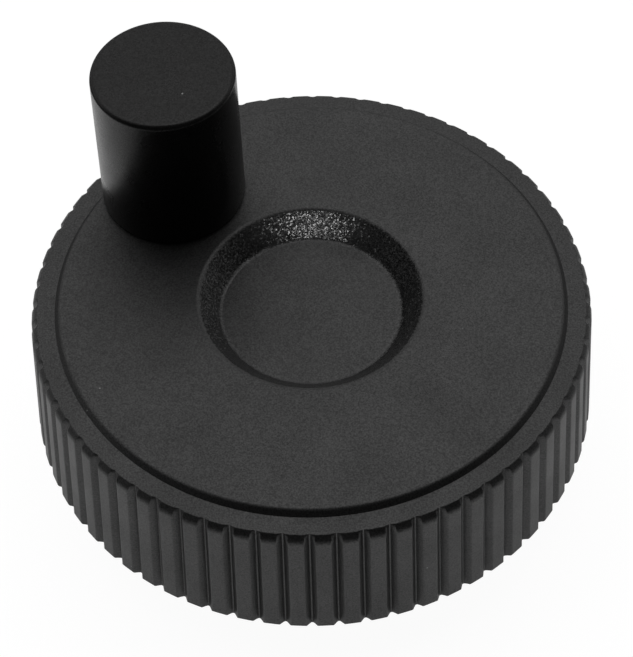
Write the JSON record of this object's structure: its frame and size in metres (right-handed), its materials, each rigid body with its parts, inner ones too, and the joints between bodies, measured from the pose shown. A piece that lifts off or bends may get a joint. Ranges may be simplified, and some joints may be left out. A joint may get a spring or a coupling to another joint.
{
  "type": "crank control knob",
  "caption": "Round moulded control knob with a fluted rim, a dished face, a steel hub bush clamped by set screws, and a short revolving crank handle near the rim.",
  "frame": {"origin": "centre of the hub's end face, where the shaft goes in", "axes": "+Z along the shaft axis towards the wheel's face; +X to the right and -Y towards the picture's camera"},
  "size_m": [0.08, 0.08, 0.0551],
  "materials": {
    "wheel_moulding": "matt charcoal moulding with a fine spark-eroded grain",
    "grip_moulding": "satin black moulding",
    "hub_steel": "turned and blackened",
    "screw_steel": "black oxide",
    "plated_steel": "turned, zinc plated",
    "spring_steel": "hardened and oiled",
    "insert_brass": "turned",
    "liner_acetal": "natural acetal"
  },
  "bodies": {
    "wheel": {"wheel_body": "wheel_moulding", "hub_bush": "hub_steel", "hub_set_screws": "screw_steel", "handle_insert": "insert_brass", "handle_spindle": "plated_steel", "handle_lock_washer": "plated_steel", "handle_lock_nut": "plated_steel", "handle_thrust_washer": "spring_steel", "handle_snap_ring": "spring_steel"},
    "handle": {"handle_grip": "grip_moulding", "handle_liner": "liner_acetal"}
  },
  "joints": [
    {"name": "handle_spin", "type": "hinge", "parent": "wheel", "child": "handle", "pos_m": [-0.01907, 0.02002, 0.0307], "axis": [0, 0, 1], "continuous": true}
  ]
}
